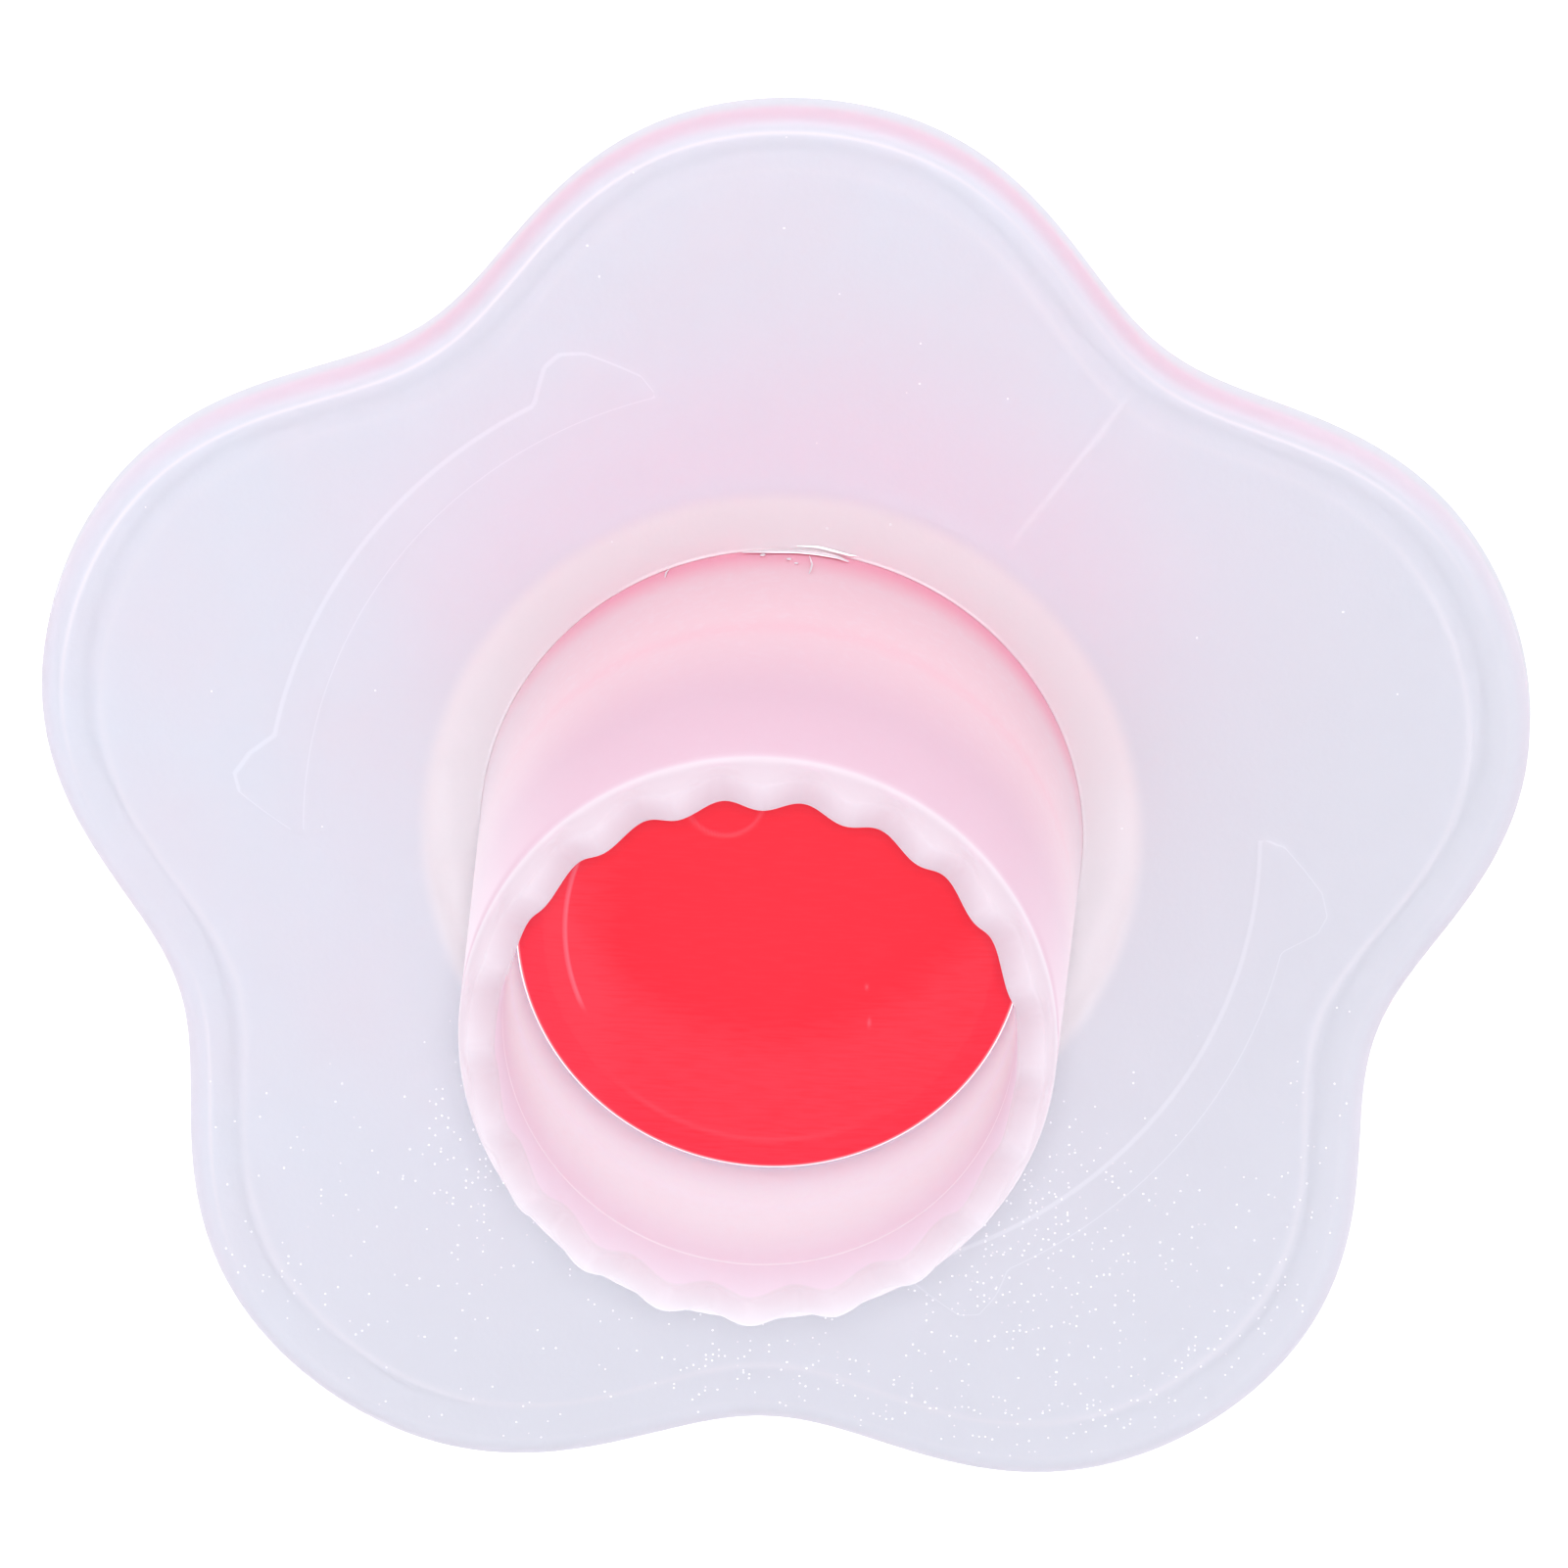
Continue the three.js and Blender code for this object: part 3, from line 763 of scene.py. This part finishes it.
class CORER_OT_cutter_tube(Operator):
    """Build the cutter tube with its bevelled, toothed mouth and its seat"""

    bl_idname = "corer.cutter_tube"
    bl_label = "Cutter tube"

    def execute(self, context):
        tube, front = context.scene.corer_tube, context.scene.corer_handle.front
        stations = tube_stations(tube)
        angle = even_angles(tube.teeth * TOOTH_COLUMNS)
        radius, height, tooth, lug = (column[:, None] for column in stations.T)
        wave = (1 - np.cos(tube.teeth * (angle - np.pi / 2))) / 2
        lugs = lug * tube.lug_height * slot_share(angle, tube.seat, tube.lug_width)
        z = height - tooth * tube.tooth_depth * wave + lugs
        points = swept(radius, angle, z + front)
        piece = make_piece(
            "toothed_tube", points, "corer_body", "cutter_tube", translucent_tinted_polypropylene, closed=True
        )
        store(piece, z.shape, **self.tints(tube, angle, wave, radius / MM, height / MM))
        return {"FINISHED"}

    @staticmethod
    def tints(tube, angle, wave, radius, height):
        """Shares of tint, painted glow, painted shade and painted highlight lines, and how deep light goes
        into the wall, from places in millimetres.

        The root's painted glow falls off with height, and the same tint comes back in a soft witness line;
        painted shade darkens both walls towards the mouth; painted light makes the flanks paler than the top;
        the bevel and teeth are pale, with a soft spot of the skin's tint at each notch. Painted highlight
        lines mark the start of the bevel, the throat behind the teeth and the line where the lip rubs, and
        the bore beside the piston gets a painted glow. Light goes deep into the bore and the open end, and
        less deep where the piston backs the wall.
        """
        top = tube.reach / MM
        outer = rise(radius, 12.6, 13.6)
        upper = rise(np.cos(angle - np.radians(80)), -0.15, 0.75)
        outside = rise(height, 26.8, 27.6) - 0.4 * wave**3 * bell(height, 28.0, 0.5) * outer
        inside = rise(height, top - 0.4, top - 0.15)
        throat, bevel = bell(height, top - tube.relief / MM, 0.09), bell(height, tube.bevel_start / MM, 0.4)
        rub = bell(height, RUB_LINE / MM, 0.2)
        flank = (1 - upper) * rise(height, 27, 25)
        lit = rise(height, 11, 13) * rise(height, 22, 14)
        in_wall = 0.1 + 0.7 * rise(height, 0, 2) + 7.2 * rise(height, 8, 24) + 12 * rise(height, 27.5, 29)
        in_bore = 5 + 15 * rise(height, 13, 17)
        # Root, mouth, line and glow are painted glow, shade and highlights; skin picks the outside tint over
        # the painted inside one.
        return {
            "skin": outer,
            "root": outer * upper * (rise(height, 3.4, 0) + 0.16 * bell(height, 10.1, 0.8)),
            "tip": np.clip(np.where(radius * MM > tube.bore_mouth + tube.lip, outside, inside), 0, 1),
            "mouth": np.where(outer > 0.5, rise(height, 8, 20), rise(height, 16, 26)),
            "line": (1 - outer) * (0.5 * throat + 0.8 * rub) + outer * (0.25 * bevel + 0.5 * flank),
            "glow": (1 - outer) * (0.1 * lit + 0.12 * rub),
            "reach": (outer * in_wall + (1 - outer) * in_bore) * MM,
        }


# Slivers of flash: angles in degrees, heights above the plate, distances outside the tube and a width in mm.
FLASH_STRIPS = (
    ((99.0, 95.6, 92.8, 88.2, 84.4, 80.7, 78.3), (0.24, 0.32, 0.36, 0.3, 0.32, 0.4, 0.67), 0, 0.46),
    ((88.8, 84.6, 80.8, 78.6, 77.1), 0, (0.28, 0.31, 0.2, 0.16, 0.24), 0.2),
    ((86.0, 85.3, 85.4, 85.7), (0.55, 1.67, 2.35, 3.05), 0, 0.1),
    ((113.1, 113.6, 113.8), (0.1, 0.34, 1.08), 0, 0.12),
    ((95.3, 94.3), (0.7, 0.8), 0, 0.3),
    ((90.1, 89.3), (1.2, 1.35), 0, 0.26),
    ((88.5, 88.1), (1.66, 1.85), 0, 0.2),
)
FLASH_ROWS, FLASH_COLUMNS = 48, 10
FLASH_THINNESS = 0.3
FLASH_LIFT = 0.03 * MM


class CORER_OT_flash(Operator):
    """Build the slivers of moulding flash left where the tube passes through the plate"""

    bl_idname = "corer.flash"
    bl_label = "Moulding flash"

    def execute(self, context):
        tube, front = context.scene.corer_tube, context.scene.corer_handle.front
        points = np.stack([self.strip(tube, front, *strip) for strip in FLASH_STRIPS])
        piece = make_piece("moulding_flash", points, "corer_body", None, frosted_natural_polypropylene)
        store(piece, len(piece.data.vertices), shine=1, edge=-1)
        return {"FINISHED"}

    @staticmethod
    def strip(tube, front, angles, heights, offsets, width):
        """A flat sliver carried along a path on the tube's wall or on the plate.

        The path runs straight between knots given as an angle in degrees, a height above the plate and a
        distance outside the tube. The section is an ellipse, flat against the wall, whose size follows a half
        circle along the path so that both ends close to a point.
        """
        along, knots = np.linspace(0, 1, FLASH_ROWS), np.linspace(0, 1, len(angles))
        angle, height, offset = (
            np.interp(along, knots, np.broadcast_to(at, len(angles))) for at in (angles, heights, offsets)
        )
        angle, height, offset = np.radians(angle), height * MM, offset * MM
        flat = np.where(offset > 0, 1.0, 0.0)[:, None]
        wall = tube.base - (tube.base - tube.edge) * height / tube.bevel_start
        half = (width * MM / 2 * np.sqrt(1 - (2 * along - 1) ** 2))[:, None]
        radial = np.stack([np.cos(angle), np.sin(angle), 0 * angle], -1)
        upright = np.broadcast_to(np.array([0.0, 0.0, 1.0]), radial.shape)
        normal = flat * upright + (1 - flat) * radial
        lift = FLASH_THINNESS * width * MM / 2 + FLASH_LIFT
        path = (wall + offset)[:, None] * radial + (height + front)[:, None] * upright + lift * normal
        ahead = np.gradient(path, axis=0)
        ahead /= np.linalg.norm(ahead, axis=1, keepdims=True)
        wide, thin = half * np.cross(ahead, normal), FLASH_THINNESS * half * normal
        turn = even_angles(FLASH_COLUMNS)[None, :, None]
        return path[:, None] + wide[:, None] * np.cos(turn) + thin[:, None] * np.sin(turn)


PIN_MARK = (-2.3 * MM, 6.72 * MM)
PIN_MARK_RADIUS = 1.9 * MM
PISTON_COLUMNS, KNOB_COLUMNS = 320, 240


def face_relief(x, y):
    """Height of the marks on the piston's face: a hollow ring from an ejector pin and a hair line."""
    from_pin = np.hypot(x - PIN_MARK[0], y - PIN_MARK[1])
    line = 0.03 * MM * bell(np.hypot(x, y), 10.15 * MM, 0.07 * MM)
    return line - 0.05 * MM * bell(from_pin, PIN_MARK_RADIUS, 0.09 * MM)


class CORER_OT_piston(Operator):
    """Build the piston with its wiper lip and hollow stem"""

    bl_idname = "corer.piston"
    bl_label = "Piston"

    def execute(self, context):
        plunger = context.scene.corer_plunger
        face, radius, drop, edge = plunger.face, plunger.radius, plunger.bevel_drop, 0.2 * MM
        crown, lip = face - plunger.crown, face - plunger.height
        inside, bore = radius - plunger.skirt, plunger.stem - plunger.stem_wall
        flat, corner = radius - plunger.bevel, 0.06 * MM
        profile = [
            (0, crown),
            (bore - edge, crown),
            *arc(bore - edge, crown - edge, edge, 90, 0, 4)[1:],
            *straight((bore, crown - edge), (bore, plunger.stem_end + edge), 12)[1:],
            *arc(bore + edge, plunger.stem_end + edge, edge, 180, 270, 4)[1:],
            *arc(plunger.stem - edge, plunger.stem_end + edge, edge, 270, 360, 4),
            *straight((plunger.stem, plunger.stem_end + edge), (plunger.stem, crown - edge), 24)[1:],
            *arc(plunger.stem + edge, crown - edge, edge, 180, 90, 4)[1:],
            *arc(inside - edge, crown - edge, edge, 90, 0, 4),
            *straight((inside, crown - edge), (inside, lip + edge), 4)[1:],
            *arc(inside + edge, lip + edge, edge, 180, 270, 4)[1:],
            *arc(radius - edge, lip + edge, edge, 270, 360, 4),
            *straight((radius, lip + edge), (radius, face - 2 * drop), 5)[1:],
            *arc(radius - corner, face - drop - corner, corner, 0, 75, 5),
            *straight((radius - 1.2 * corner, face - drop), (flat, face), 14),
            *straight((flat, face), (0, face), 110)[1:],
        ]
        profile = np.array(profile)
        points = revolved(profile, PISTON_COLUMNS)
        on_face = profile[:, 1] > face - drop
        points[on_face, :, 2] += face_relief(points[on_face, :, 0], points[on_face, :, 1])
        points[..., 2] = np.minimum(points[..., 2], face)
        piece = make_piece("piston_and_stem", points, "plunger", "piston", red_pigmented_polypropylene)
        self.marks(piece, plunger)
        return {"FINISHED"}

    @staticmethod
    def marks(piece, plunger):
        """Shares of painted sheen, of light marks and of painted light on the piston's face, from places in
        millimetres.

        Painted sheen is most at the edge on the left, some below and none at the top. Light marks are narrow
        bells: painted highlights in an arc along the left edge and a fainter one along the lower edge, then
        the pin's ring and two upright scratches. A painted highlight pales the lip along its edge, and a
        painted glow lights its rounded corner.
        """
        points = np.empty(len(piece.data.vertices) * 3, np.float32)
        piece.data.vertices.foreach_get("co", points)
        x, y, z = points.reshape(-1, 3).T / MM
        radius, turn = np.hypot(x, y), np.arctan2(y, x)
        lip, bevel_foot = plunger.radius / MM, (plunger.face - plunger.bevel_drop) / MM
        on_face = z > bevel_foot - plunger.bevel_drop / MM
        on_corner = z > bevel_foot - 0.055
        # Painted sheen: lighter red near the edge, most on the left.
        haze = 0.65 * rise(0.06 * x**2 - y, 3.75, 7.25) + 0.9 * rise(-x, 6, 11)
        # Painted highlights in arcs along the left and lower edges.
        arc_left = bell(radius, 9.7, 0.07) * rise(np.abs(angle_from(turn, 3.13)), 0.5, 0.38)
        arc_low = bell(radius, 10.5, 0.12) * rise(np.abs(angle_from(turn, -1.75)), 0.7, 0.3)
        ring = bell(np.hypot(x - PIN_MARK[0] / MM, y - PIN_MARK[1] / MM), PIN_MARK_RADIUS / MM, 0.1)
        scratch = bell(x, 4.64, 0.07) * bell(y, -2.6, 0.12) + bell(x, 4.8, 0.07) * bell(y, -4.4, 0.2)
        scuff = 0.8 * arc_left + 0.1 * arc_low + 0.2 * ring + 0.45 * scratch
        store(
            piece,
            len(x),
            # Painted glow on the lip's corner and a painted highlight along its edge.
            led=on_corner * rise(radius, lip - 0.065, lip - 0.045),
            whitened=on_face * 0.4 * rise(radius, lip - 0.155, lip - 0.095),
            haze=on_face * np.clip(haze, 0, 1),
            scuff=on_face * np.clip(scuff, 0, 1),
        )


class CORER_OT_push_knob(Operator):
    """Build the hollow push knob with its spigot"""

    bl_idname = "corer.push_knob"
    bl_label = "Push knob"

    def execute(self, context):
        plunger = context.scene.corer_plunger
        outer, top, wall = plunger.knob, plunger.knob_height, plunger.knob_wall
        inner, band, edge = outer - wall, top - plunger.knob_band, wall / 4
        spigot, spigot_top = plunger.spigot, plunger.spigot_top
        hollow = spigot - plunger.spigot_wall
        profile = [
            *straight((0, 0), (plunger.knob_flat, 0), 12),
            *bend((plunger.knob_flat, 0), (outer, 0), (outer, band), 24)[1:],
            *straight((outer, band), (outer, top - edge), 5)[1:],
            *arc(outer - edge, top - edge, edge, 0, 90, 6)[1:],
            *arc(inner + edge, top - edge, edge, 90, 180, 6),
            *straight((inner, top - edge), (inner, band), 4)[1:],
            *bend((inner, band), (inner, wall), (plunger.knob_flat, wall), 16)[1:],
            *straight((plunger.knob_flat, wall), (spigot, wall), 4)[1:],
            *straight((spigot, wall), (spigot, spigot_top - edge), 6)[1:],
            *arc(spigot - edge, spigot_top - edge, edge, 0, 90, 5)[1:],
            *straight((hollow, spigot_top), (hollow, wall), 6),
            *straight((hollow, wall), (0, wall), 4)[1:],
        ]
        points = revolved(np.array(profile), KNOB_COLUMNS)
        make_piece("knob_cap", points, "plunger", "push_knob", red_pigmented_polypropylene)
        return {"FINISHED"}


CAMERA_RIGHT = Vector((0.998886, 0.023754, -0.040774))
CAMERA_UP = Vector((-0.036522, 0.936319, -0.349247))
CAMERA_BACK = Vector((0.029881, 0.350347, 0.936143))
CAMERA_DISTANCE = 1.5935
CAMERA_OFFSET = (0.120 * MM, 2.367 * MM)
CAMERA_LENS = 768.2
PLATE_CENTRE = Vector((0, 0, HANDLE_HIGH.z))
LIGHT_BOUNCES = 16
FLOOR_HALF = 3.0
FLOOR_GAP = 0.02 * MM


class CORER_OT_studio(Operator):
    """Build the pale floor, the white tent light, the softboxes and the camera"""

    bl_idname = "corer.studio"
    bl_label = "Studio"

    def execute(self, context):
        stage = context.scene.corer_stage
        self.floor(stage)
        self.lights(context.scene, stage)
        self.camera(context.scene)
        context.scene.view_settings.view_transform = "Standard"
        for kind in ("max_bounces", "diffuse_bounces", "transmission_bounces"):
            setattr(context.scene.cycles, kind, LIGHT_BOUNCES)
        return {"FINISHED"}

    @staticmethod
    def floor(stage):
        """A flat square of painted board, bright enough to read as white."""
        mesh = bpy.data.meshes.new("studio_floor")
        corners = [(x * FLOOR_HALF, y * FLOOR_HALF, 0) for x, y in ((-1, -1), (1, -1), (1, 1), (-1, 1))]
        mesh.from_pydata(corners, [], [(0, 1, 2, 3)])
        material, tree = new_material("white_painted_board")
        inputs = {
            "Base Color": rgba(stage.floor),
            "Roughness": 0.9,
            "Specular IOR Level": 0.1,
            "Emission Color": (1, 1, 1, 1),
            "Emission Strength": 0.6,
        }
        surface(tree, inputs)
        mesh.materials.append(material)
        board = bpy.data.objects.new("studio_floor", mesh)
        board.location.z = CAD_BOX[0].z - FLOOR_GAP
        bpy.context.scene.collection.objects.link(board)

    @staticmethod
    def lights(scene, stage):
        """A white tent all round, one soft light at the camera and a larger low one above the picture."""
        world = bpy.data.worlds.new("white_tent")
        world.use_nodes = True
        world.node_tree.nodes["Background"].inputs["Color"].default_value = rgba(stage.sky)
        scene.world = world
        # Each softbox's name, power, width and place from the middle of the plate, in metres.
        softboxes = (
            ("front_softbox", stage.front, 0.15, CAMERA_BACK * 1.6),
            ("top_softbox", stage.top, 0.6, Vector((-0.1, 0.75, 0.45))),
        )
        for name, watts, size, aim in softboxes:
            lamp = bpy.data.lights.new(name, "AREA")
            lamp.shape = "DISK"
            lamp.size = size
            lamp.energy = watts
            softbox = bpy.data.objects.new(name, lamp)
            scene.collection.objects.link(softbox)
            softbox.location = PLATE_CENTRE + aim
            softbox.rotation_mode = "QUATERNION"
            softbox.rotation_quaternion = (-aim).to_track_quat("-Z", "Y")
            softbox.visible_camera = False

    @staticmethod
    def camera(scene):
        """A long lens that looks down into the mouth from above the petal at +Y."""
        lens = bpy.data.cameras.new("studio_camera")
        lens.lens = CAMERA_LENS
        lens.sensor_width = 36
        lens.clip_start, lens.clip_end = 0.1, 20
        camera = bpy.data.objects.new("studio_camera", lens)
        scene.collection.objects.link(camera)
        right, up = CAMERA_OFFSET
        spot = PLATE_CENTRE + CAMERA_BACK * CAMERA_DISTANCE + CAMERA_RIGHT * right + CAMERA_UP * up
        turn = Matrix((CAMERA_RIGHT, CAMERA_UP, CAMERA_BACK)).transposed().to_4x4()
        camera.matrix_world = Matrix.Translation(spot) @ turn
        scene.camera = camera


class CORER_PT_pieces(Panel):
    """Lists the corer's pieces"""

    bl_idname = "CORER_PT_pieces"
    bl_label = "Cupcake corer"
    bl_space_type = "VIEW_3D"
    bl_region_type = "UI"
    bl_category = "Corer"

    def draw(self, context):
        for operator in OPERATORS:
            self.layout.operator(operator.bl_idname)


OPERATORS = (
    CORER_OT_flower_handle,
    CORER_OT_cutter_tube,
    CORER_OT_flash,
    CORER_OT_piston,
    CORER_OT_push_knob,
    CORER_OT_studio,
)
SETTINGS = {
    "corer_handle": CorerHandleSettings,
    "corer_tube": CorerTubeSettings,
    "corer_plunger": CorerPlungerSettings,
    "corer_plastic": CorerPlasticSettings,
    "corer_stage": CorerStageSettings,
}


def register():
    """Adds the classes and the settings to Blender."""
    for group in (*SETTINGS.values(), *OPERATORS, CORER_PT_pieces):
        bpy.utils.register_class(group)
    for name, group in SETTINGS.items():
        setattr(bpy.types.Scene, name, PointerProperty(type=group))


def unregister():
    """Takes the settings and the classes out again."""
    for name in SETTINGS:
        delattr(bpy.types.Scene, name)
    for group in (CORER_PT_pieces, *reversed(OPERATORS), *reversed(SETTINGS.values())):
        bpy.utils.unregister_class(group)


def main():
    """Builds every piece and the studio."""
    register()
    bpy.ops.corer.flower_handle()
    bpy.ops.corer.cutter_tube()
    bpy.ops.corer.flash()
    bpy.ops.corer.piston()
    bpy.ops.corer.push_knob()
    bpy.ops.corer.studio()


if __name__ == "__main__":
    main()
